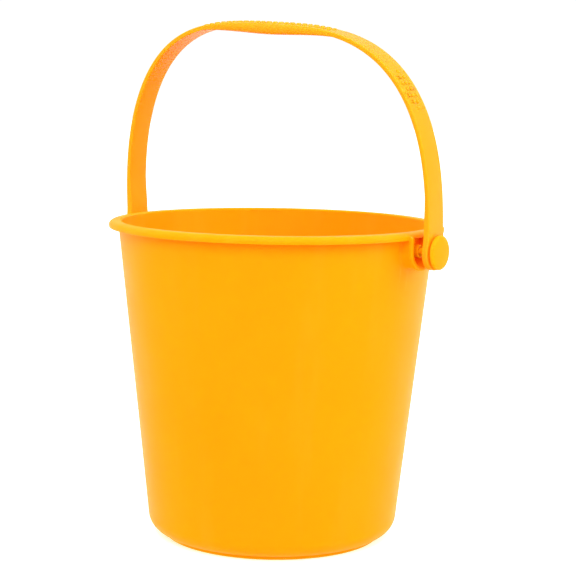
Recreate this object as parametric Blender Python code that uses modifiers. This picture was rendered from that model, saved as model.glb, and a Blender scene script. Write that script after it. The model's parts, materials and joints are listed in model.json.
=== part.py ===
"""Sand bucket: a moulded plastic bucket whose flat strap handle swings on two push-in pivot buttons.

Metres, +Z up. The origin is on the bucket's axis, in the plane that its foot ring stands on.
The handle's pivot axis runs along X, through an ear on each side just below the rim.
"""

from math import acos, atan2, cos, hypot, pi, radians, sin, sqrt, tan

import bmesh
import bpy

# Bucket
RIM_RADIUS = 0.090
HEIGHT = 0.1706
WALL = 0.0018
WALL_RADIUS_AT_GROUND = 0.0665
DRAFT = radians(6.23)
FLOOR_THICKNESS = 0.0022
FOOT_HEIGHT = 0.0018
FOOT_RADIUS = 0.0589
FOOT_WIDTH = 0.0020
BASE_FILLET = 0.0098
INNER_FILLET = 0.0080

# Rim: a flange over the wall with a short skirt hanging from its edge
RIM_CROWN_RADIUS = 0.0864
RIM_CROWN_DROP = 0.0025
RIM_HEIGHT = 0.0038
SKIRT_TAPER = 0.0002
INNER_LIP = 0.0010

# Ears: a U-shaped collar with a lip round a pocket in the rim, and a boss in it for the button
PIVOT_HEIGHT = HEIGHT - 0.0097
POCKET_RADIUS = 0.0081
COLLAR_THICKNESS = 0.0012
LIP_OVERHANG = 0.0008
LIP_DEPTH = 0.0022
EAR_REACH = 0.0916
EAR_TOP = HEIGHT - 0.0012
POCKET_BACK = 0.0846
BOSS_RADIUS = 0.0032
BOSS_FACE = 0.0900

# Handle: a flat strap bent into a bow, round at its ends and thicker where the hand holds it
STRAP_OUTSIDE = 0.0992
STRAP_THICKNESS = 0.0024
STRAP_WIDTH = 0.0146
STRAP_CHAMFER = 0.0005
STRAIGHT_LENGTH = 0.0145
BOW_HEIGHT = 0.1149
BOW_SIDE_POWER = 3.15
BOW_TOP_POWER = 2.33
BOW_RACK = 0.046
GRIP_LENGTH = 0.0850
GRIP_THICKNESS = 0.0059
GRIP_FULLNESS = 1.9
EYE_RADIUS = 0.0092
EYE_THICKNESS = 0.0032
EYE_FLARE = 0.0350
EYE_START = radians(-80)
HANDLE_LEAN = radians(3.0)

# Pivot buttons: a domed head outside the handle, a shank through the handle's eye into the boss
HEAD_RADIUS = 0.0088
HEAD_TOP = 0.1027
HEAD_DOME = 0.0006
HEAD_EDGE = 0.0008
NECK_RADIUS = 0.0074
NECK_LENGTH = 0.0010
SHANK_RADIUS = 0.0019
SHANK_TIP = 0.0872
GROOVE_DEPTH = 0.0003
GROOVE_WIDTH = 0.0012
GROOVE_INSET = 0.0008

# Gap between touching pieces, and how far a cutter runs past what it cuts
GAP = 0.0003
PAST = 0.0050

# Facets
TURN_STEPS = 96
BORE_STEPS = 28
BUTTON_STEPS = 36
ARC_STEPS = 6
BOW_STATIONS = 72
FINE_STEPS = 2000
EYE_STATIONS = 9
FLARE_STATIONS = 4

PLASTIC = (1.0, 0.45, 0.012, 1.0)
PLASTIC_ROUGHNESS = 0.42
MERGE = 0.00001


def clear_scene():
    for obj in list(bpy.data.objects):
        bpy.data.objects.remove(obj, do_unlink=True)


def new_collection(name):
    made = bpy.data.collections.new(name)
    bpy.context.scene.collection.children.link(made)
    return made


def plastic(name, tint):
    """Glossy opaque plastic; tint scales its colour, so each piece can be told from its neighbour."""
    made = bpy.data.materials.new(name)
    made.use_nodes = True
    shader = made.node_tree.nodes["Principled BSDF"]
    shader.inputs["Base Color"].default_value = tuple(tint * part for part in PLASTIC[:3]) + (1.0,)
    shader.inputs["Roughness"].default_value = PLASTIC_ROUGHNESS
    shader.inputs["Metallic"].default_value = 0.0
    return made


def new_object(name, mesh, collection):
    made = bpy.data.objects.new(name, mesh)
    collection.objects.link(made)
    return made


def as_helper(obj):
    obj.hide_render = True
    obj.display_type = "WIRE"
    return obj


def shade(obj, material):
    obj.data.materials.append(material)
    obj.data.shade_smooth()
    obj.data.set_sharp_from_angle(angle=radians(30))


def arc(centre, radii, start, end, steps=ARC_STEPS):
    """Points (r, z) of an elliptical arc between two angles, both ends included."""
    angles = [start + (end - start) * step / steps for step in range(steps + 1)]
    return [(centre[0] + radii[0] * cos(a), centre[1] + radii[1] * sin(a)) for a in angles]


def turned(name, profile, collection, steps):
    """A solid of revolution about Z. The profile (r, z) runs down its outer side."""
    mesh = bpy.data.meshes.new(name)
    edges = [(i, i + 1) for i in range(len(profile) - 1)]
    mesh.from_pydata([(r, 0.0, z) for r, z in profile], edges, [])
    made = new_object(name, mesh, collection)
    screw = made.modifiers.new("Turn", "SCREW")
    screw.steps = steps
    screw.render_steps = steps
    screw.use_merge_vertices = True
    screw.merge_threshold = MERGE
    return made


def prism(name, outline, start, end, collection):
    """A closed outline (y, z) extruded along X from start to end."""
    shape = bmesh.new()
    face = shape.faces.new([shape.verts.new((start, y, z)) for y, z in outline])
    pushed = bmesh.ops.extrude_face_region(shape, geom=[face])["geom"]
    corners = [item for item in pushed if isinstance(item, bmesh.types.BMVert)]
    bmesh.ops.translate(shape, verts=corners, vec=(end - start, 0.0, 0.0))
    bmesh.ops.recalc_face_normals(shape, faces=shape.faces)
    mesh = bpy.data.meshes.new(name)
    shape.to_mesh(mesh)
    shape.free()
    return new_object(name, mesh, collection)


def rod(name, radius, start, end, collection):
    """A cylinder along X from start to end, at the pivot's height."""
    angles = [2 * pi * step / BORE_STEPS for step in range(BORE_STEPS)]
    outline = [(radius * cos(a), PIVOT_HEIGHT + radius * sin(a)) for a in angles]
    return prism(name, outline, start, end, collection)


def on_both_sides(obj):
    """Repeats the helper at -X; the two bodies stay apart."""
    mirror = obj.modifiers.new("Both sides", "MIRROR")
    mirror.use_mirror_merge = False
    return as_helper(obj)


def combine(obj, other, operation):
    boolean = obj.modifiers.new(f"{operation.title()} {other.name}", "BOOLEAN")
    boolean.operation = operation
    boolean.object = other


# Bucket


def wall_radius(z):
    return WALL_RADIUS_AT_GROUND + z * tan(DRAFT)


def inner_radius(z):
    return wall_radius(z) - WALL / cos(DRAFT)


def outer_profile():
    """The bucket as if it were solid: rim, skirt, recess under the rim, wall, fillet and foot ring."""
    crown_z = HEIGHT - RIM_CROWN_DROP
    crown = arc((RIM_CROWN_RADIUS, crown_z), (RIM_RADIUS - RIM_CROWN_RADIUS, RIM_CROWN_DROP), pi / 2, 0)
    skirt_z = HEIGHT - RIM_HEIGHT
    skirt_radius = RIM_RADIUS - SKIRT_TAPER
    flange_z = HEIGHT - WALL
    skirt = [
        (skirt_radius, skirt_z),
        (skirt_radius - WALL, skirt_z),
        (skirt_radius - WALL, flange_z),
        (wall_radius(flange_z), flange_z),
    ]
    fillet_z = FOOT_HEIGHT + BASE_FILLET
    fillet_radius = wall_radius(fillet_z) - BASE_FILLET / cos(DRAFT)
    foot_angle = -acos((FOOT_RADIUS - fillet_radius) / BASE_FILLET)
    fillet = arc((fillet_radius, fillet_z), (BASE_FILLET, BASE_FILLET), -DRAFT, foot_angle)
    foot = [
        (FOOT_RADIUS, 0.0),
        (FOOT_RADIUS - FOOT_WIDTH, 0.0),
        (FOOT_RADIUS - FOOT_WIDTH, FOOT_HEIGHT),
        (0.0, FOOT_HEIGHT),
    ]
    return [(0.0, HEIGHT)] + crown + skirt + fillet + foot


def cavity_profile():
    """The inside of the bucket, flared at the lip and filleted into the floor."""
    floor = FOOT_HEIGHT + FLOOR_THICKNESS
    lip_z = HEIGHT - INNER_LIP
    lip_radius = inner_radius(lip_z)
    lip = arc((lip_radius + INNER_LIP, lip_z), (INNER_LIP, INNER_LIP), pi / 2, pi, 3)
    fillet_z = floor + INNER_FILLET
    fillet_radius = inner_radius(fillet_z) - INNER_FILLET / cos(DRAFT)
    fillet = arc((fillet_radius, fillet_z), (INNER_FILLET, INNER_FILLET), -DRAFT, -pi / 2)
    mouth = lip_radius + INNER_LIP
    return [(0.0, HEIGHT + PAST), (mouth, HEIGHT + PAST)] + lip + fillet + [(0.0, floor)]


def u_outline(radius, top):
    """A U (y, z): straight sides down to the pivot's height, then a half circle round the pivot."""
    bowl = arc((0.0, PIVOT_HEIGHT), (radius, radius), 0, -pi, 2 * ARC_STEPS)
    return [(radius, top)] + bowl + [(-radius, top)]


def ear_blocks(helpers):
    """Both ears in the solid: a lipped U that follows the rim round and tucks in under it."""
    collar_radius = POCKET_RADIUS + COLLAR_THICKNESS
    bottom = PIVOT_HEIGHT - collar_radius - PAST
    ring = [
        (0.0, EAR_TOP),
        (2 * RIM_RADIUS - EAR_REACH, EAR_TOP),
        (EAR_REACH, EAR_TOP - EAR_REACH + RIM_RADIUS),
        (EAR_REACH, bottom),
        (0.0, bottom),
    ]
    ear_ring = as_helper(turned("ear_ring", ring, helpers, TURN_STEPS))
    above = HEIGHT + PAST
    outside = EAR_REACH + PAST
    inside = inner_radius(bottom) - PAST
    block = prism("ear_blocks", u_outline(collar_radius, above), inside, outside, helpers)
    lip_outline = u_outline(collar_radius + LIP_OVERHANG, above)
    lips = prism("ear_lips", lip_outline, EAR_REACH - LIP_DEPTH, outside, helpers)
    combine(on_both_sides(block), on_both_sides(lips), "UNION")
    combine(block, ear_ring, "INTERSECT")
    return block


def bucket_body(parts, helpers):
    body = turned("bucket_body", outer_profile(), parts, TURN_STEPS)
    shade(body, plastic("bucket_plastic", 1.0))
    cavity = as_helper(turned("cavity", cavity_profile(), helpers, TURN_STEPS))
    pocket_outline = u_outline(POCKET_RADIUS, HEIGHT - WALL)
    pockets = prism("pockets", pocket_outline, POCKET_BACK, EAR_REACH + PAST, helpers)
    bosses = rod("bosses", BOSS_RADIUS, POCKET_BACK - WALL / 2, BOSS_FACE, helpers)
    boss_bores = rod("boss_bores", SHANK_RADIUS + GAP, SHANK_TIP - GAP, BOSS_FACE + PAST, helpers)
    combine(body, ear_blocks(helpers), "UNION")
    combine(body, cavity, "DIFFERENCE")
    combine(body, on_both_sides(pockets), "DIFFERENCE")
    combine(body, on_both_sides(bosses), "UNION")
    combine(body, on_both_sides(boss_bores), "DIFFERENCE")
    return body


# Handle, in its own frame: the pivot axis is X, the bow rises along Z


def bow_point(turn):
    """Outer edge of the bow; turn is 0 at the top of the right strap and pi at that of the left.

    It is an oval with full shoulders: an ellipse's squares are replaced by BOW_SIDE_POWER across
    and BOW_TOP_POWER upward.
    """
    across = abs(cos(turn)) ** (2 / BOW_SIDE_POWER) * (1 if turn < pi / 2 else -1)
    rise = abs(sin(turn)) ** (2 / BOW_TOP_POWER)
    x = STRAP_OUTSIDE * across
    z = STRAIGHT_LENGTH + (BOW_HEIGHT - STRAIGHT_LENGTH) * rise
    return x, z - BOW_RACK * x * rise**2


def spaced(points, count):
    """The same line with its points an equal way apart."""
    steps = [hypot(b[0] - a[0], b[1] - a[1]) for a, b in zip(points, points[1:])]
    total = sum(steps)
    made = [points[0]]
    walked = 0.0
    for (start, end), step in zip(zip(points, points[1:]), steps):
        while len(made) < count and walked + step >= total * len(made) / count:
            part = (total * len(made) / count - walked) / step
            made.append(tuple(a + (b - a) * part for a, b in zip(start, end)))
        walked += step
    return made + [points[-1]]


def eye_stations(side):
    """(x, z, half width) up one strap end: the round eye, then its flare into the strap."""
    flare_centre = STRAP_WIDTH / 2 + EYE_FLARE
    flare_z = sqrt((EYE_RADIUS + EYE_FLARE) ** 2 - flare_centre**2)
    meet = atan2(flare_z, flare_centre)
    eye = arc((0.0, 0.0), (EYE_RADIUS, EYE_RADIUS), EYE_START, meet, EYE_STATIONS)
    flare = arc((flare_centre, flare_z), (EYE_FLARE, EYE_FLARE), meet + pi, pi, FLARE_STATIONS)
    return [(side * STRAP_OUTSIDE, z, half) for half, z in eye + flare[1:]]


def strap_stations():
    """(x, z, half width) of the strap's outer face, from the right eye over the bow to the left."""
    fine = [bow_point(pi * step / FINE_STEPS) for step in range(FINE_STEPS + 1)]
    bow = [(x, z, STRAP_WIDTH / 2) for x, z in spaced(fine, BOW_STATIONS)]
    return eye_stations(1) + bow + eye_stations(-1)[::-1]


def strap_thickness(x, z):
    """Thicker round the eye, and swelling to the grip's full thickness in the middle of the bow."""
    if z < 2 * STRAIGHT_LENGTH:
        share = min(1.0, 2 - z / STRAIGHT_LENGTH)
        return STRAP_THICKNESS + (EYE_THICKNESS - STRAP_THICKNESS) * share
    along = min(1.0, 2 * abs(x) / GRIP_LENGTH)
    share = 1 - along**GRIP_FULLNESS if z > BOW_HEIGHT / 2 else 0.0
    return STRAP_THICKNESS + (GRIP_THICKNESS - STRAP_THICKNESS) * share


def strap_section(station, inward):
    """Eight corners of the chamfered section: inward is the unit vector (x, z) to its inner face."""
    x, z, half = station
    thick = strap_thickness(x, z)
    corners = [
        (half, STRAP_CHAMFER),
        (half - STRAP_CHAMFER, 0.0),
        (STRAP_CHAMFER - half, 0.0),
        (-half, STRAP_CHAMFER),
        (-half, thick - STRAP_CHAMFER),
        (STRAP_CHAMFER - half, thick),
        (half - STRAP_CHAMFER, thick),
        (half, thick - STRAP_CHAMFER),
    ]
    return [(x + inward[0] * depth, y, z + inward[1] * depth) for y, depth in corners]


def handle(parts, helpers):
    stations = strap_stations()
    shape = bmesh.new()
    rings = []
    for before, station, after in zip(stations[:1] + stations, stations, stations[1:] + stations[-1:]):
        run, rise = after[0] - before[0], after[1] - before[1]
        inward = (-rise / hypot(run, rise), run / hypot(run, rise))
        rings.append([shape.verts.new(corner) for corner in strap_section(station, inward)])
    for ring, following in zip(rings, rings[1:]):
        for i, corner in enumerate(ring):
            shape.faces.new((corner, ring[i - 1], following[i - 1], following[i]))
    shape.faces.new(rings[0])
    shape.faces.new(rings[-1][::-1])
    bmesh.ops.recalc_face_normals(shape, faces=shape.faces)
    mesh = bpy.data.meshes.new("handle")
    shape.to_mesh(mesh)
    shape.free()
    made = new_object("handle", mesh, parts)
    shade(made, plastic("handle_plastic", 0.95))
    made.location = (0.0, 0.0, PIVOT_HEIGHT)
    made.rotation_euler = (HANDLE_LEAN, 0.0, 0.0)
    through = STRAP_OUTSIDE - EYE_THICKNESS - PAST
    eye_bores = rod("eye_bores", SHANK_RADIUS + GAP, through, STRAP_OUTSIDE + PAST, helpers)
    combine(made, on_both_sides(eye_bores), "DIFFERENCE")
    return made


# Pivot buttons


def button_profile():
    """(r, distance from the bucket's axis): domed head on a neck, grooved shank, tapered tip."""
    seat = STRAP_OUTSIDE + GAP
    brim = seat + NECK_LENGTH
    edge_z = HEAD_TOP - HEAD_DOME - HEAD_EDGE
    dome = arc((0.0, HEAD_TOP - HEAD_DOME), (HEAD_RADIUS - HEAD_EDGE, HEAD_DOME), pi / 2, pi / 6, 4)
    edge = arc((HEAD_RADIUS - HEAD_EDGE, edge_z), (HEAD_EDGE, HEAD_EDGE), pi / 3, 0, 3)
    groove = BOSS_FACE - GROOVE_INSET
    shank = [
        (HEAD_RADIUS, brim),
        (NECK_RADIUS, brim),
        (NECK_RADIUS, seat),
        (SHANK_RADIUS, seat),
        (SHANK_RADIUS, groove),
        (SHANK_RADIUS - GROOVE_DEPTH, groove),
        (SHANK_RADIUS - GROOVE_DEPTH, groove - GROOVE_WIDTH),
        (SHANK_RADIUS, groove - GROOVE_WIDTH),
    ]
    tip = [(SHANK_RADIUS, SHANK_TIP + SHANK_RADIUS / 3), (SHANK_RADIUS * 2 / 3, SHANK_TIP), (0.0, SHANK_TIP)]
    return dome + edge + shank + tip


def pivot_button(name, side, parts):
    button = turned(name, button_profile(), parts, BUTTON_STEPS)
    shade(button, plastic(f"{name}_plastic", 0.9))
    button.location = (0.0, 0.0, PIVOT_HEIGHT)
    button.rotation_euler = (0.0, side * pi / 2, 0.0)
    return button


def main():
    clear_scene()
    parts = new_collection("sand_bucket")
    helpers = new_collection("cutters")
    bucket_body(parts, helpers)
    handle(parts, helpers)
    pivot_button("pivot_button_right", 1, parts)
    pivot_button("pivot_button_left", -1, parts)


main()
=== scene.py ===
"""The looks of the sand bucket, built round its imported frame.

Metres, +Z up, the origin on the bucket's axis where its foot ring stands. The bucket, the handle and
the two pivot buttons are each remade with the rounded edges and raised marks of a moulded piece, in the
CAD pieces' places and sizes, and ride on the CAD bodies.
"""

import json
from math import acos, asin, atan2, cos, hypot, pi, radians, sin, sqrt, tan

import bmesh
import bpy
from mathutils import Matrix, Vector


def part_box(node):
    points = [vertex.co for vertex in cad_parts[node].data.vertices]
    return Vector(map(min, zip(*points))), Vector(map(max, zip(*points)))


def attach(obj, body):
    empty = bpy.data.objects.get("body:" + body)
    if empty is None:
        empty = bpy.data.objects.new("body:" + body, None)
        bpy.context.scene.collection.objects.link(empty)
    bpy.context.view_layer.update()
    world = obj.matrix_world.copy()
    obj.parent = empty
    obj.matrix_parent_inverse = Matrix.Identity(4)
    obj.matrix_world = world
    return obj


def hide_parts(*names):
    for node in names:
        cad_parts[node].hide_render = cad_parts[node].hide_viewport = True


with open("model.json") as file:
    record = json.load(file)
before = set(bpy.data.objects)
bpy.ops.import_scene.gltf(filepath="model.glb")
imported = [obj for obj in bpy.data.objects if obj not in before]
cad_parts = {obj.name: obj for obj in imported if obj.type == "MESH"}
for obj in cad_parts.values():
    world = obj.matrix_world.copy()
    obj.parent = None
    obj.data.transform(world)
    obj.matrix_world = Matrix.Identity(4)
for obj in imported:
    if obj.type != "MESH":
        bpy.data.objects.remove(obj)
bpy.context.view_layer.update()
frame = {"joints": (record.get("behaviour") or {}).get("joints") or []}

_, BUCKET_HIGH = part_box("bucket_body")
_, HANDLE_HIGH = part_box("handle")
BUTTON_LOW, BUTTON_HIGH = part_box("pivot_button_right")

# Bucket; the gate is where the plastic was let into the mould
RIM_RADIUS = BUCKET_HIGH.y
HEIGHT = BUCKET_HIGH.z
WALL = 0.0018
WALL_RADIUS_AT_GROUND = 0.0665
DRAFT = radians(6.23)
FLOOR_THICKNESS = 0.0022
FOOT_HEIGHT = 0.0018
FOOT_RADIUS = 0.0589
FOOT_WIDTH = 0.0020
BASE_FILLET = 0.0098
INNER_FILLET = 0.0080
GATE_RADIUS = 0.0030
GATE_HEIGHT = 0.0006

# Rim: a crown, with a short skirt hanging from its edge
RIM_CROWN_RADIUS = 0.0864
RIM_CROWN_DROP = 0.0025
RIM_HEIGHT = 0.0038
SKIRT_TAPER = 0.0002
INNER_LIP = 0.0010
EDGE = 0.00035
UNDER_RIM_FILLET = 0.0012

# Ears: a U-shaped collar with a lip round a pocket, filleted into the wall, and a boss in the pocket
PIVOT = Vector(frame["joints"][0]["pos_m"])
POCKET_RADIUS = 0.0081
COLLAR_THICKNESS = 0.0012
COLLAR_FILLET = 0.0018
LIP_OVERHANG = 0.0008
LIP_DEPTH = 0.0022
LIP_EDGE = 0.0005
EAR_REACH = 0.0916
EAR_TOP = HEIGHT - 0.0016
EAR_SHOULDER = HEIGHT - 0.0036
BOSS_RADIUS = 0.0032
BOSS_FACE = 0.0900

# Handle: a flat strap bent into a bow, with a thicker and rounder grip and a round eye at each end
STRAP_OUTSIDE = HANDLE_HIGH.x
STRAP_THICKNESS = 0.0024
STRAP_WIDTH = 0.0146
STRAP_EDGE = 0.0005
STRAIGHT_LENGTH = 0.0145
BOW_HEIGHT = 0.1149
BOW_SIDE_POWER = 3.15
BOW_TOP_POWER = 2.33
BOW_RACK = 0.046
GRIP_LENGTH = 0.0850
GRIP_THICKNESS = 0.0059
GRIP_FULLNESS = 1.9
GRIP_EDGE = 0.0029
EYE_RADIUS = 0.0092
EYE_THICKNESS = 0.0032
EYE_FLARE = 0.0350
HANDLE_LEAN = radians(3.0)

# Raised marks: dashes along the grip and rows of pips on the right shoulder
NUB_HEIGHT = 0.0007
NUB_GAP = 0.0014
NUB_LENGTHS = (0.0026, 0.0017, 0.0032, 0.0021)
NUB_ROWS = (-0.0027, 0.0027)
NUB_WIDTH = 0.0034
NUB_SPAN = 0.0415
PIP_WIDTH = 0.0019
PIP_HEIGHT = 0.0008
PIP_ROWS = (1, 2, 3, 2, 3, 2, 1)
PIP_PITCH = 0.0032
PIP_ROW_PITCH = 0.0036
PIP_MIDDLE = 0.0960

# Pivot buttons
HEAD_RADIUS = (BUTTON_HIGH.y - BUTTON_LOW.y) / 2
HEAD_TOP = BUTTON_HIGH.x
HEAD_DOME = 0.0006
HEAD_EDGE = 0.0008
HEAD_DOME_END = pi / 8
HEAD_EDGE_START = pi / 2.6
NECK_RADIUS = 0.0074
NECK_LENGTH = 0.0010
SHANK_RADIUS = 0.0019
SHANK_TIP = BUTTON_LOW.x

# Gap between touching pieces, and how far a cutter runs past what it cuts
GAP = 0.0003
PAST = 0.0050

# Smoothness of the meshes
TURN_STEPS = 288
BUTTON_STEPS = 128
ARC_STEPS = 12
EDGE_STEPS = 5
MARK_STEPS = 4
FLOOR_PARTS = 8
WALL_PARTS = 16
EAR_ARM_PARTS = 6
BOW_STATIONS = 340
FINE_STEPS = 6000
EYE_STATIONS = 30
POCKET_EDGE_TURN = 0.001
NARROWEST_CORNER = 0.1
LEG_SHARE = 0.48
MERGE = 0.000002
SHARP = radians(38)

# Plastics. TONES are a piece's own colour, its cloudy deeper one and that of its worn edges; FLOW stretches
# the noise along the way that the plastic ran into the mould; GLOSS scales the reflection at its surface.
BUCKET_TONES = ((0.98, 0.318, 0.001), (0.97, 0.300, 0.0005), (1.0, 0.37, 0.02))
BUCKET_FLOW = (1.0, 1.0, 0.08)
BUCKET_GLOSS = 0.035
HANDLE_TONES = ((0.98, 0.330, 0.004), (0.97, 0.312, 0.003), (1.0, 0.40, 0.03))
HANDLE_FLOW = (0.1, 1.0, 0.1)
HANDLE_GLOSS = 0.09
BUTTON_TONES = ((0.98, 0.335, 0.003), (0.97, 0.315, 0.002), (1.0, 0.39, 0.02))
BUTTON_FLOW = (1.0, 0.3, 0.3)
BUTTON_GLOSS = 0.03
MOULDED_ROUGHNESS = 0.40
BUTTON_ROUGHNESS = 0.36
PLASTIC_IOR = 1.49
TRANSLUCENCY = 0.6
SCATTER_COLOURS = (1.0, 0.85, 0.10)
SCATTER_DEPTH = 0.0040

# Noises are (scale, detail); a RANGE is (from, to) of the noise or the pointiness, then of its effect
NOISE_MIDDLE = (0.30, 0.70)
CLOUDS = (22.0, 3.0)
CLOUD_RANGE = (0.35, 0.70, 0.0, 0.55)
FLOW_LINES = (60.0, 5.0)
FLOW_LINE_RANGE = (0.52, 0.72, 0.0, 0.22)
WEAR_RANGE = (0.515, 0.60, 0.0, 1.0)
WEAR_PATCHES = (260.0, 3.0)
WEAR_PATCH_RANGE = (0.38, 0.62, 0.15, 0.60)
SCUFFS = (240.0, 2.0)
SCUFF_STRETCH = (1.0, 1.0, 0.045)
SCUFF_RANGE = (0.66, 0.74, 0.0, 1.0)
SCUFF_ROUGHNESS = 0.08
SCUFF_DEPTH = 0.000010
SATIN = (45.0, 4.0)
SATIN_SPREAD = (-0.04, 0.05)
GRAIN = (1500.0, 2.0)
GRAIN_DEPTH = 0.000002
RIPPLE = (130.0, 2.0)
RIPPLE_DEPTH = 0.00004
RELIEF_STRENGTH = 0.55

# Surroundings: their strength, and (height, brightness) from -1, straight down, to 1, straight up
SURROUNDINGS = 1.05
SKY = ((-0.30, 1.42), (-0.04, 1.0), (0.24, 1.0), (0.90, 1.20))

# Floor
FLOOR_REACH = 6.0
FLOOR_TONES = (0.93, 0.96)
FLOOR_MOTTLE = (9.0, 3.0)
FLOOR_ROUGHNESS = 0.9
FLOOR_GLOSS = 0.1
FLOOR_GLOW = 0.45

# Softboxes: name, azimuth and elevation in degrees, distance, side and power. They aim at the middle of
# the bucket; azimuth 0 stands towards -Y, 90 towards +X.
SOFTBOXES = (
    ("key", 30.0, 36.0, 1.6, 0.9, 13.0),
    ("left", -60.0, 25.0, 1.8, 1.2, 4.0),
    ("right", 105.0, 30.0, 1.8, 1.2, 11.0),
)

# Camera: a little way off, just above the rim
LENS = 103.59
SENSOR = 36.0
CLIP_START = 0.05
CLIP_END = 50.0
CAMERA_AZIMUTH = radians(35.5)
CAMERA_DISTANCE = 0.88967
CAMERA_HEIGHT = 0.24940
CAMERA_PITCH = 0.1287988
CAMERA_YAW = 0.0074597
CAMERA_ROLL = 0.0172672


# Outlines


def arc(centre, radii, start, end, steps=ARC_STEPS):
    """Points of an elliptical arc between two angles, both ends included."""
    angles = [start + (end - start) * step / steps for step in range(steps + 1)]
    return [(centre[0] + radii[0] * cos(a), centre[1] + radii[1] * sin(a)) for a in angles]


def between(start, end, count):
    """The points that divide a straight run into count parts, without its ends."""
    shares = [step / count for step in range(1, count)]
    return [tuple(a + (b - a) * share for a, b in zip(start, end)) for share in shares]


def rounded(corners, steps=EDGE_STEPS):
    """The inner corners (a, b, radius) of an open outline, each rounded off. Its ends only aim the legs."""
    made = []
    for before, corner, after in zip(corners, corners[1:], corners[2:]):
        middle = Vector(corner[:2])
        legs = [Vector(end[:2]) - middle for end in (before, after)]
        spread = max(legs[0].angle(legs[1], pi), NARROWEST_CORNER)
        limits = [LEG_SHARE * leg.length for leg in legs]
        reach = min(corner[2] / tan(spread / 2), *limits)
        start, end = [middle + leg.normalized() * reach for leg in legs]
        for step in range(steps + 1):
            share = step / steps
            point = start * (1 - share) ** 2 + middle * 2 * share * (1 - share) + end * share**2
            made.append(tuple(point))
    return made


# Meshes


def new_piece(name, rings, closed=True, caps=False):
    """An object whose skin joins each ring of points to the next; closed rings go all the way round."""
    shape = bmesh.new()
    made = [[shape.verts.new(point) for point in ring] for ring in rings]
    for ring, following in zip(made, made[1:]):
        for i in range(0 if closed else 1, len(ring)):
            shape.faces.new((ring[i], ring[i - 1], following[i - 1], following[i]))
    if caps:
        shape.faces.new(made[0])
        shape.faces.new(made[-1][::-1])
    bmesh.ops.remove_doubles(shape, verts=shape.verts, dist=MERGE)
    bmesh.ops.recalc_face_normals(shape, faces=shape.faces)
    mesh = bpy.data.meshes.new(name)
    shape.to_mesh(mesh)
    shape.free()
    piece = bpy.data.objects.new(name, mesh)
    bpy.context.scene.collection.objects.link(piece)
    return piece


def turned_on_pivot(name, profile, side):
    """A solid turned about the pivot axis; the profile is (radius, distance from the bucket's axis)."""
    angles = [2 * pi * step / BUTTON_STEPS for step in range(BUTTON_STEPS)]
    rings = [[(side * x, r * cos(a), PIVOT.z + r * sin(a)) for a in angles] for r, x in profile]
    return new_piece(name, rings)


def apply_modifiers(piece):
    graph = bpy.context.evaluated_depsgraph_get()
    mesh = bpy.data.meshes.new_from_object(piece.evaluated_get(graph))
    piece.modifiers.clear()
    piece.data = mesh


def combine(piece, tools, operation):
    """Joins the tools to the piece, or cuts them from it, and removes them."""
    for tool in tools:
        boolean = piece.modifiers.new(tool.name, "BOOLEAN")
        boolean.operation = operation
        boolean.object = tool
    apply_modifiers(piece)
    for tool in tools:
        bpy.data.objects.remove(tool, do_unlink=True)


def joined(name, pieces):
    """One object from several that don't touch."""
    shape = bmesh.new()
    for piece in pieces:
        shape.from_mesh(piece.data)
        bpy.data.objects.remove(piece, do_unlink=True)
    mesh = bpy.data.meshes.new(name)
    shape.to_mesh(mesh)
    shape.free()
    made = bpy.data.objects.new(name, mesh)
    bpy.context.scene.collection.objects.link(made)
    return made


def finish_piece(piece, body, nodes, material):
    piece.data.materials.clear()
    piece.data.materials.append(material)
    piece.data.shade_smooth()
    piece.data.set_sharp_from_angle(angle=SHARP)
    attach(piece, body)
    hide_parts(*nodes)


# Bucket


def wall_radius(z):
    return WALL_RADIUS_AT_GROUND + z * tan(DRAFT)


def inner_radius(z):
    return wall_radius(z) - WALL / cos(DRAFT)


def inside_profile():
    """Up the inside, from the middle of the floor to the rim's flat top."""
    floor = FOOT_HEIGHT + FLOOR_THICKNESS
    fillet_z = floor + INNER_FILLET
    fillet_radius = inner_radius(fillet_z) - INNER_FILLET / cos(DRAFT)
    fillet = arc((fillet_radius, fillet_z), (INNER_FILLET, INNER_FILLET), -pi / 2, -DRAFT)
    lip_z = HEIGHT - INNER_LIP
    lip = arc((inner_radius(lip_z) + INNER_LIP, lip_z), (INNER_LIP, INNER_LIP), pi, pi / 2)
    centre = (0.0, floor)
    flat = [centre] + between(centre, fillet[0], FLOOR_PARTS)
    return flat + fillet + between(fillet[-1], lip[0], WALL_PARTS) + lip


def skirt_profile(cut_away):
    """The crown, the skirt hanging from it and the recess under it. Over a pocket the skirt is cut away."""
    crown_z = HEIGHT - RIM_CROWN_DROP
    crown = arc((RIM_CROWN_RADIUS, crown_z), (RIM_RADIUS - RIM_CROWN_RADIUS, RIM_CROWN_DROP), pi / 2, 0)
    skirt_radius = RIM_RADIUS - SKIRT_TAPER
    inside = skirt_radius - WALL
    if cut_away:
        skirt_z = flange_z = crown_z - EDGE
        flange_radius = inside - EDGE
    else:
        skirt_z, flange_z = HEIGHT - RIM_HEIGHT, HEIGHT - WALL
        flange_radius = inside
    corners = [
        crown[-1],
        (skirt_radius, skirt_z, EDGE),
        (inside, skirt_z, EDGE),
        (flange_radius, flange_z, EDGE),
        (wall_radius(flange_z), flange_z, UNDER_RIM_FILLET),
        (wall_radius(PIVOT.z), PIVOT.z),
    ]
    return crown + rounded(corners)


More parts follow.
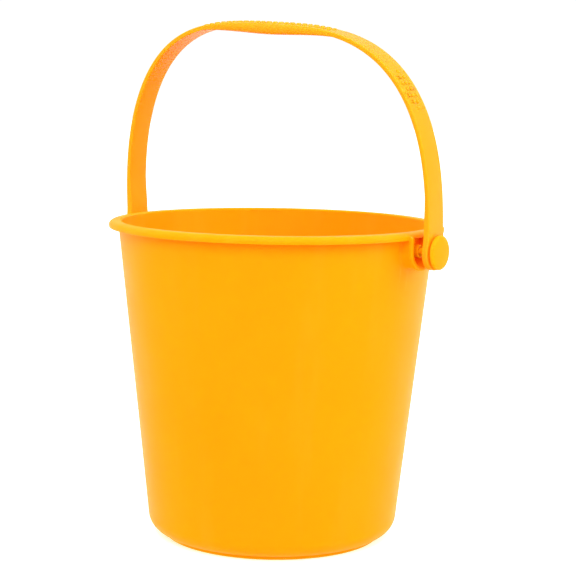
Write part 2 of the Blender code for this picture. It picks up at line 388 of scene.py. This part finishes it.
def base_profile(top):
    """Down the outside from a point under the rim to the middle of the underside."""
    fillet_z = FOOT_HEIGHT + BASE_FILLET
    fillet_radius = wall_radius(fillet_z) - BASE_FILLET / cos(DRAFT)
    foot_angle = -acos((FOOT_RADIUS - fillet_radius) / BASE_FILLET)
    reach = (BASE_FILLET, BASE_FILLET)
    fillet = arc((fillet_radius, fillet_z), reach, -DRAFT, foot_angle, 2 * ARC_STEPS)
    inside = FOOT_RADIUS - FOOT_WIDTH
    corners = [
        fillet[-1],
        (FOOT_RADIUS, 0.0, EDGE),
        (inside, 0.0, EDGE),
        (inside, FOOT_HEIGHT, EDGE),
        (GATE_RADIUS, FOOT_HEIGHT, EDGE),
        (GATE_RADIUS, FOOT_HEIGHT - GATE_HEIGHT, EDGE),
        (0.0, FOOT_HEIGHT - GATE_HEIGHT),
    ]
    return between(top, fillet[0], WALL_PARTS) + fillet + rounded(corners) + [corners[-1]]


def shell():
    """The turned moulding: wall, floor, foot ring and rim, with the skirt cut away behind each ear."""
    full, cut = [inside_profile() + skirt_profile(away) for away in (False, True)]
    full += base_profile(full[-1])
    cut += base_profile(cut[-1])
    pocket_edge = asin((POCKET_RADIUS + COLLAR_THICKNESS / 2) / RIM_RADIUS)
    angles = {2 * pi * step / TURN_STEPS for step in range(TURN_STEPS)}
    for side in (0.0, pi):
        for edge in (-pocket_edge, pocket_edge):
            for shift in (-POCKET_EDGE_TURN, POCKET_EDGE_TURN):
                angles.add((side + edge + shift) % (2 * pi))
    rings = []
    for angle in sorted(angles):
        over_pocket = abs(asin(sin(angle))) < pocket_edge
        rings.append([(r * cos(angle), r * sin(angle), z) for r, z in (cut if over_pocket else full)])
    return new_piece("bucket", rings + rings[:1], closed=False)


def ear_path(q):
    """(y, z) down one arm of the U, round its bowl and up the other, at the distance q from the pivot."""
    rise = [pi / 2 * (1 - step / ARC_STEPS) for step in range(ARC_STEPS + 1)]
    arm = [EAR_SHOULDER + (EAR_TOP - EAR_SHOULDER) * sin(a) for a in rise]
    arm += [z for _, z in between((0, EAR_SHOULDER), (0, PIVOT.z), EAR_ARM_PARTS)]
    bowl = arc((0.0, PIVOT.z), (q, q), 0, -pi, 4 * ARC_STEPS)
    return [(q, z) for z in arm] + bowl + [(-q, z) for z in arm[::-1]]


def ear(side):
    """A lipped U-shaped collar, following the rim round; it starts inside the wall.

    Its section is a line of points (reach, q): q is the distance from the pivot, and reach is measured
    from the bucket's axis in front of the wall, and from the wall's outside at the collar's root.
    """
    collar = POCKET_RADIUS + COLLAR_THICKNESS
    lip = collar + LIP_OVERHANG
    behind = EAR_REACH - LIP_DEPTH
    corners = [
        (behind, POCKET_RADIUS),
        (EAR_REACH, POCKET_RADIUS, LIP_EDGE),
        (EAR_REACH, lip, LIP_EDGE),
        (behind, lip, LIP_EDGE),
        (behind, collar, EDGE),
        (RIM_CROWN_RADIUS, collar),
    ]
    in_front = rounded(corners)
    fillet = arc((collar + COLLAR_FILLET, COLLAR_FILLET), (COLLAR_FILLET, COLLAR_FILLET), pi, 1.5 * pi)
    inner_root = [(-WALL / 2, POCKET_RADIUS)]
    outer_root = [(off_wall, q) for q, off_wall in fillet] + [(-WALL / 2, collar + COLLAR_FILLET)]
    section = inner_root + in_front + outer_root
    on_wall = [True] * len(inner_root) + [False] * len(in_front) + [True] * len(outer_root)
    top_reach = behind + GAP
    paths = [ear_path(q) for _, q in section]
    rings = []
    for station in range(len(paths[0])):
        ring = []
        for (reach, _), path, from_wall in zip(section, paths, on_wall):
            y, z = path[station]
            if from_wall:
                reach += wall_radius(z)
            over = min(1.0, max(0.0, (z - EAR_SHOULDER) / (EAR_TOP - EAR_SHOULDER)))
            limit = top_reach + (EAR_REACH - top_reach) * sqrt(1 - over**2)
            ring.append((side * sqrt(min(reach, limit) ** 2 - y**2), y, z))
        rings.append(ring)
    return new_piece("ear", rings, caps=True)


def boss(side):
    """The tube in the pocket that the button's shank is pressed into."""
    root = wall_radius(PIVOT.z) - WALL / 2
    bore = SHANK_RADIUS + GAP
    bottom = SHANK_TIP - GAP
    corners = [
        (BOSS_RADIUS, root),
        (BOSS_RADIUS, BOSS_FACE, EDGE),
        (bore, BOSS_FACE, EDGE / 2),
        (bore, bottom),
    ]
    profile = [(0.0, root), (BOSS_RADIUS, root)] + rounded(corners) + [(bore, bottom), (0.0, bottom)]
    return turned_on_pivot("boss", profile, side)


def bucket(material):
    piece = shell()
    fittings = joined("fittings", [make(side) for make in (ear, boss) for side in (1, -1)])
    combine(piece, [fittings], "UNION")
    finish_piece(piece, "bucket", ["bucket_body"], material)


# Handle, in its own frame: the pivot axis is X, the bow rises along Z


def bow_point(turn):
    """Outer edge of the bow; turn is 0 at the top of the right strap and pi at that of the left.

    It is an oval with full shoulders: an ellipse's squares are replaced by BOW_SIDE_POWER across
    and BOW_TOP_POWER upward.
    """
    across = abs(cos(turn)) ** (2 / BOW_SIDE_POWER) * (1 if turn < pi / 2 else -1)
    rise = abs(sin(turn)) ** (2 / BOW_TOP_POWER)
    x = STRAP_OUTSIDE * across
    z = STRAIGHT_LENGTH + (BOW_HEIGHT - STRAIGHT_LENGTH) * rise
    return x, z - BOW_RACK * x * rise**2


def spaced(points, count):
    """The same line with its points an equal way apart."""
    steps = [hypot(b[0] - a[0], b[1] - a[1]) for a, b in zip(points, points[1:])]
    total = sum(steps)
    made = [points[0]]
    walked = 0.0
    for (start, end), step in zip(zip(points, points[1:]), steps):
        while len(made) < count and walked + step >= total * len(made) / count:
            part = (total * len(made) / count - walked) / step
            made.append(tuple(a + (b - a) * part for a, b in zip(start, end)))
        walked += step
    return made + [points[-1]]


def bow_line():
    """Points (x, z) along the strap's outer face, with their inward directions."""
    fine = [bow_point(pi * step / FINE_STEPS) for step in range(FINE_STEPS + 1)]
    line = spaced(fine, BOW_STATIONS)
    made = []
    for before, point, after in zip(line[:1] + line, line, line[1:] + line[-1:]):
        run, rise = after[0] - before[0], after[1] - before[1]
        made.append((point, (-rise / hypot(run, rise), run / hypot(run, rise))))
    return made


def eye_outline(side, inset):
    """(x, z, half width) up one strap end, drawn in by inset: the round eye, then its flare."""
    flare_centre = STRAP_WIDTH / 2 + EYE_FLARE
    flare_z = sqrt((EYE_RADIUS + EYE_FLARE) ** 2 - flare_centre**2)
    meet = atan2(flare_z, flare_centre)
    eye_reach, flare_reach = EYE_RADIUS - inset, EYE_FLARE + inset
    eye = arc((0.0, 0.0), (eye_reach, eye_reach), -pi / 2, meet, EYE_STATIONS)
    flare = arc((flare_centre, flare_z), (flare_reach, flare_reach), meet + pi, pi, ARC_STEPS)
    return [(side * STRAP_OUTSIDE, z, half) for half, z in eye + flare[1:]]


def strap_shape(x, z):
    """(thickness, edge radius): thicker round the eye, swelling and rounder to the middle of the grip."""
    if z < 2 * STRAIGHT_LENGTH:
        share = min(1.0, 2 - z / STRAIGHT_LENGTH)
        return STRAP_THICKNESS + (EYE_THICKNESS - STRAP_THICKNESS) * share, STRAP_EDGE
    along = min(1.0, 2 * abs(x) / GRIP_LENGTH)
    share = 1 - along**GRIP_FULLNESS if z > BOW_HEIGHT / 2 else 0.0
    thick = STRAP_THICKNESS + (GRIP_THICKNESS - STRAP_THICKNESS) * share
    return thick, STRAP_EDGE + (GRIP_EDGE - STRAP_EDGE) * share


def section_corners(thick, edge):
    """(inset, depth, side) round the strap's section, each corner a quarter circle."""
    quarter = [pi / 2 * step / EDGE_STEPS for step in range(EDGE_STEPS + 1)]
    outer = [(edge * (1 - cos(a)), edge * (1 - sin(a)), 1) for a in quarter]
    half = outer + [(inset, depth, -1) for inset, depth, _ in outer[::-1]]
    return half + [(inset, thick - depth, -side) for inset, depth, side in half]


def strap_rings():
    """Rings of points along the strap, from the right eye over the bow to the left."""
    thick, edge = strap_shape(STRAP_OUTSIDE, 0.0)
    corners = section_corners(thick, edge)
    ends = []
    for side in (1, -1):
        outlines = [eye_outline(side, inset) for inset, _, _ in corners]
        rings = [
            [(x - side * depth, sign * half, z) for (x, z, half), (_, depth, sign) in zip(points, corners)]
            for points in zip(*outlines)
        ]
        ends.append(rings)
    bow = []
    for (x, z), inward in bow_line():
        thick, edge = strap_shape(x, z)
        ring = [
            (x + inward[0] * depth, sign * (STRAP_WIDTH / 2 - inset), z + inward[1] * depth)
            for inset, depth, sign in section_corners(thick, edge)
        ]
        bow.append(ring)
    return ends[0] + bow + ends[1][::-1]


def to_rest(piece):
    """From the handle's own frame to its place on the bucket."""
    piece.data.transform(Matrix.Translation(PIVOT) @ Matrix.Rotation(HANDLE_LEAN, 4, "X"))
    return piece


def on_bow(line, distance):
    """(point, inward) of the outer face at a distance along it from the bow's middle, towards the right."""
    step = hypot(line[1][0][0] - line[0][0][0], line[1][0][1] - line[0][0][1])
    station, share = divmod(len(line) / 2 - distance / step, 1.0)
    pairs = zip(line[int(station)], line[int(station) + 1])
    return [tuple(a + (b - a) * share for a, b in zip(start, end)) for start, end in pairs]


def mark_place(line, distance):
    """The matrix that puts a mark on the strap's outer face: X along the strap, Z outward."""
    (x, z), inward = on_bow(line, distance)
    outward = Vector((-inward[0], 0.0, -inward[1]))
    across = Vector((0.0, 1.0, 0.0))
    along = across.cross(outward)
    turn = Matrix((along, across, outward)).transposed().to_4x4()
    return Matrix.Translation((x, 0.0, z)) @ turn


def nub(length, width, height):
    """A low mark with rounded corners and a domed top, sunk below the face that it stands on."""
    levels = [(0.0, -height)]
    for step in range(EDGE_STEPS + 1):
        angle = pi / 2 * step / EDGE_STEPS
        levels.append((height * (1 - cos(angle)), height * sin(angle)))
    corner = min(length, width) / 2
    middle_x, middle_y = length / 2 - corner, width / 2 - corner
    rings = []
    for inset, z in levels:
        reach = (corner - inset, corner - inset)
        ring = []
        for quadrant, (sign_x, sign_y) in enumerate(((1, 1), (-1, 1), (-1, -1), (1, -1))):
            centre = (sign_x * middle_x, sign_y * middle_y)
            start = quadrant * pi / 2
            ring += [(x, y, z) for x, y in arc(centre, reach, start, start + pi / 2, MARK_STEPS)]
        rings.append(ring)
    return new_piece("nub", rings, caps=True)


def grip_nubs():
    """Two rows of raised dashes along the grip's outer face."""
    line = bow_line()
    made = []
    at = -NUB_SPAN
    turn = 0
    while at < NUB_SPAN:
        length = NUB_LENGTHS[turn % len(NUB_LENGTHS)]
        for row in NUB_ROWS:
            mark = nub(length, NUB_WIDTH, NUB_HEIGHT)
            mark.data.transform(mark_place(line, at + length / 2) @ Matrix.Translation((0.0, row, 0.0)))
            made.append(mark)
        at += length + NUB_GAP
        turn += 1
    return joined("grip_nubs", made)


def shoulder_pips():
    """Rows of small round pips on the right shoulder."""
    line = bow_line()
    made = []
    for row, count in enumerate(PIP_ROWS):
        place = mark_place(line, PIP_MIDDLE + (row - len(PIP_ROWS) // 2) * PIP_ROW_PITCH)
        for item in range(count):
            across = (item - (count - 1) / 2) * PIP_PITCH
            mark = nub(PIP_WIDTH, PIP_WIDTH, PIP_HEIGHT)
            mark.data.transform(place @ Matrix.Translation((0.0, across, 0.0)))
            made.append(mark)
    return joined("shoulder_pips", made)


def eye_bores():
    """Rods through both eyes, where the buttons' shanks go."""
    reach = SHANK_RADIUS + GAP
    inside = STRAP_OUTSIDE - EYE_THICKNESS - PAST
    outside = STRAP_OUTSIDE + PAST
    profile = [(0.0, outside), (reach, outside), (reach, inside), (0.0, inside)]
    return joined("eye_bores", [turned_on_pivot("eye_bore", profile, side) for side in (1, -1)])


def handle(material):
    piece = to_rest(new_piece("handle_moulding", strap_rings()))
    combine(piece, [to_rest(grip_nubs()), to_rest(shoulder_pips())], "UNION")
    combine(piece, [eye_bores()], "DIFFERENCE")
    finish_piece(piece, "handle", ["handle"], material)


# Pivot buttons


def button_profile():
    """Domed head, neck, shank and tapered tip; (radius, distance from the bucket's axis)."""
    seat = STRAP_OUTSIDE + GAP
    brim = seat + NECK_LENGTH
    edge_z = HEAD_TOP - HEAD_DOME - HEAD_EDGE
    flat = HEAD_RADIUS - HEAD_EDGE
    dome = arc((0.0, HEAD_TOP - HEAD_DOME), (flat, HEAD_DOME), pi / 2, HEAD_DOME_END, 2 * ARC_STEPS)
    edge = arc((flat, edge_z), (HEAD_EDGE, HEAD_EDGE), HEAD_EDGE_START, 0)
    corners = [
        edge[-1],
        (HEAD_RADIUS, brim, EDGE / 2),
        (NECK_RADIUS, brim, EDGE / 2),
        (NECK_RADIUS, seat, EDGE / 2),
        (SHANK_RADIUS, seat, EDGE / 2),
        (SHANK_RADIUS, SHANK_TIP + SHANK_RADIUS / 3, EDGE / 2),
        (SHANK_RADIUS * 2 / 3, SHANK_TIP, EDGE / 2),
        (0.0, SHANK_TIP),
    ]
    return dome + edge + rounded(corners) + [corners[-1]]


def pivot_button(name, side, node, material):
    piece = turned_on_pivot(name, button_profile(), side)
    finish_piece(piece, "bucket", [node], material)


# Materials


class Nodes:
    """Short ways to add and link shader nodes."""

    def __init__(self, material):
        self.tree = material.node_tree
        self.shader = self.tree.nodes["Principled BSDF"]

    def add(self, kind, inputs=None, **settings):
        node = self.tree.nodes.new(kind)
        for name, value in settings.items():
            setattr(node, name, value)
        for key, value in (inputs or {}).items():
            if isinstance(value, bpy.types.NodeSocket):
                self.tree.links.new(value, node.inputs[key])
            else:
                node.inputs[key].default_value = value
        return node

    def link(self, output, socket):
        self.tree.links.new(output, self.shader.inputs[socket])

    def noise(self, coordinates, scale, detail, stretch=(1.0, 1.0, 1.0)):
        mapped = self.add("ShaderNodeMapping", {"Vector": coordinates, "Scale": stretch})
        inputs = {"Vector": mapped.outputs[0], "Scale": scale, "Detail": detail}
        return self.add("ShaderNodeTexNoise", inputs).outputs["Fac"]

    def ranged(self, value, low, high, to_low, to_high):
        names = ("Value", "From Min", "From Max", "To Min", "To Max")
        made = self.add("ShaderNodeMapRange", dict(zip(names, (value, low, high, to_low, to_high))))
        return made.outputs[0]

    def mixed(self, factor, first, second):
        """A mix of two colours; its factor and colours are inputs 0, 6 and 7, and its result output 2."""
        made = self.add("ShaderNodeMix", data_type="RGBA")
        for key, value in ((0, factor), (6, first), (7, second)):
            if isinstance(value, bpy.types.NodeSocket):
                self.tree.links.new(value, made.inputs[key])
            else:
                made.inputs[key].default_value = value
        return made.outputs[2]

    def math(self, operation, first, second):
        return self.add("ShaderNodeMath", {0: first, 1: second}, operation=operation).outputs[0]


def moulded_plastic(name, tones, flow, roughness, gloss):
    """Satin polypropylene: cloudy colour, faint flow lines, paler worn edges, mould grain and scuffs."""
    material = bpy.data.materials.new(name)
    material.use_nodes = True
    nodes = Nodes(material)
    place = nodes.add("ShaderNodeTexCoord").outputs["Object"]
    colour, deep, pale = [tone + (1.0,) for tone in tones]

    clouds = nodes.noise(place, *CLOUDS)
    lines = nodes.noise(place, *FLOW_LINES, flow)
    tone = nodes.mixed(nodes.ranged(clouds, *CLOUD_RANGE), colour, deep)
    tone = nodes.mixed(nodes.ranged(lines, *FLOW_LINE_RANGE), tone, pale)
    pointed = nodes.add("ShaderNodeNewGeometry").outputs["Pointiness"]
    wear = nodes.ranged(pointed, *WEAR_RANGE)
    patches = nodes.ranged(nodes.noise(place, *WEAR_PATCHES), *WEAR_PATCH_RANGE)
    tone = nodes.mixed(nodes.math("MULTIPLY", wear, patches), tone, pale)
    nodes.link(tone, "Base Color")

    scuffs = nodes.noise(place, *SCUFFS, SCUFF_STRETCH)
    scuffed = nodes.ranged(scuffs, *SCUFF_RANGE)
    smoothest, roughest = [roughness + spread for spread in SATIN_SPREAD]
    satin = nodes.ranged(nodes.noise(place, *SATIN), *NOISE_MIDDLE, smoothest, roughest)
    satin = nodes.math("ADD", satin, nodes.math("MULTIPLY", scuffed, SCUFF_ROUGHNESS))
    nodes.link(satin, "Roughness")

    grain = nodes.math("MULTIPLY", nodes.noise(place, *GRAIN), GRAIN_DEPTH)
    ripple = nodes.math("MULTIPLY", nodes.noise(place, *RIPPLE), RIPPLE_DEPTH)
    relief = nodes.math("ADD", grain, ripple)
    relief = nodes.math("SUBTRACT", relief, nodes.math("MULTIPLY", scuffed, SCUFF_DEPTH))
    bump = nodes.add("ShaderNodeBump", {"Height": relief, "Distance": 1.0, "Strength": RELIEF_STRENGTH})
    nodes.link(bump.outputs[0], "Normal")

    nodes.shader.inputs["IOR"].default_value = PLASTIC_IOR
    nodes.shader.inputs["Specular IOR Level"].default_value = gloss
    nodes.shader.inputs["Subsurface Weight"].default_value = TRANSLUCENCY
    nodes.shader.inputs["Subsurface Radius"].default_value = SCATTER_COLOURS
    nodes.shader.inputs["Subsurface Scale"].default_value = SCATTER_DEPTH
    return material


# Studio


def look_from_side():
    """The camera, looking a little down on the rim, turned round the bucket by its azimuth."""
    data = bpy.data.cameras.new("camera")
    data.lens = LENS
    data.sensor_width = SENSOR
    data.clip_start = CLIP_START
    data.clip_end = CLIP_END
    camera = bpy.data.objects.new("camera", data)
    bpy.context.scene.collection.objects.link(camera)
    ahead = cos(CAMERA_PITCH)
    forward = Vector((sin(CAMERA_YAW) * ahead, cos(CAMERA_YAW) * ahead, -sin(CAMERA_PITCH)))
    level = Vector((cos(CAMERA_YAW), -sin(CAMERA_YAW), 0.0))
    upright = level.cross(forward)
    right = cos(CAMERA_ROLL) * level + sin(CAMERA_ROLL) * upright
    up = -sin(CAMERA_ROLL) * level + cos(CAMERA_ROLL) * upright
    place = Matrix((right, up, -forward)).transposed().to_4x4()
    place.translation = (0.0, -CAMERA_DISTANCE, CAMERA_HEIGHT)
    camera.matrix_world = Matrix.Rotation(CAMERA_AZIMUTH, 4, "Z") @ place
    bpy.context.scene.camera = camera


def soft_light(name, azimuth, elevation, distance, size, power):
    """A square softbox aimed at the middle of the bucket."""
    data = bpy.data.lights.new(name, "AREA")
    data.size = size
    data.energy = power
    lamp = bpy.data.objects.new(name, data)
    bpy.context.scene.collection.objects.link(lamp)
    a, e = radians(azimuth), radians(elevation)
    away = Vector((sin(a) * cos(e), -cos(a) * cos(e), sin(e)))
    lamp.location = Vector((0.0, 0.0, HEIGHT / 2)) + away * distance
    lamp.rotation_mode = "QUATERNION"
    lamp.rotation_quaternion = away.to_track_quat("Z", "Y")


def surroundings():
    """A white world, a little brighter towards the ground and the ceiling."""
    world = bpy.data.worlds.new("surroundings")
    bpy.context.scene.world = world
    world.use_nodes = True
    tree = world.node_tree
    direction = tree.nodes.new("ShaderNodeTexCoord")
    axes = tree.nodes.new("ShaderNodeSeparateXYZ")
    ramp = tree.nodes.new("ShaderNodeValToRGB")
    tree.links.new(direction.outputs["Generated"], axes.inputs[0])
    shift = tree.nodes.new("ShaderNodeMapRange")
    shift.inputs["From Min"].default_value = -1.0
    tree.links.new(axes.outputs["Z"], shift.inputs["Value"])
    tree.links.new(shift.outputs[0], ramp.inputs[0])
    tree.links.new(ramp.outputs[0], tree.nodes["Background"].inputs["Color"])
    stops = ramp.color_ramp.elements
    for _ in SKY[2:]:
        stops.new(0.5)
    for stop, (height, brightness) in zip(stops, SKY):
        stop.position = (height + 1) / 2
        stop.color = (brightness, brightness, brightness, 1.0)
    tree.nodes["Background"].inputs["Strength"].default_value = SURROUNDINGS


def studio():
    """A white floor, with a faint mottle, under soft lights."""
    edges = (-FLOOR_REACH, FLOOR_REACH)
    floor = new_piece("floor", [[(x, y, 0.0) for y in edges] for x in edges], closed=False)
    paint = bpy.data.materials.new("floor_paint")
    paint.use_nodes = True
    nodes = Nodes(paint)
    place = nodes.add("ShaderNodeTexCoord").outputs["Object"]
    mottle = nodes.ranged(nodes.noise(place, *FLOOR_MOTTLE), *NOISE_MIDDLE, 0.0, 1.0)
    dark, light = [(tone, tone, tone, 1.0) for tone in FLOOR_TONES]
    nodes.link(nodes.mixed(mottle, dark, light), "Base Color")
    nodes.shader.inputs["Roughness"].default_value = FLOOR_ROUGHNESS
    nodes.shader.inputs["Specular IOR Level"].default_value = FLOOR_GLOSS
    nodes.shader.inputs["Emission Color"].default_value = (1.0, 1.0, 1.0, 1.0)
    nodes.shader.inputs["Emission Strength"].default_value = FLOOR_GLOW
    floor.visible_diffuse = False
    floor.data.materials.append(paint)

    for softbox in SOFTBOXES:
        soft_light(*softbox)
    bpy.context.scene.view_settings.view_transform = "Standard"


look_from_side()
surroundings()
studio()
bucket(moulded_plastic("bucket_finish", BUCKET_TONES, BUCKET_FLOW, MOULDED_ROUGHNESS, BUCKET_GLOSS))
handle(moulded_plastic("handle_finish", HANDLE_TONES, HANDLE_FLOW, MOULDED_ROUGHNESS, HANDLE_GLOSS))
button_finish = moulded_plastic("button_finish", BUTTON_TONES, BUTTON_FLOW, BUTTON_ROUGHNESS, BUTTON_GLOSS)
pivot_button("button_right", 1, "pivot_button_right", button_finish)
pivot_button("button_left", -1, "pivot_button_left", button_finish)
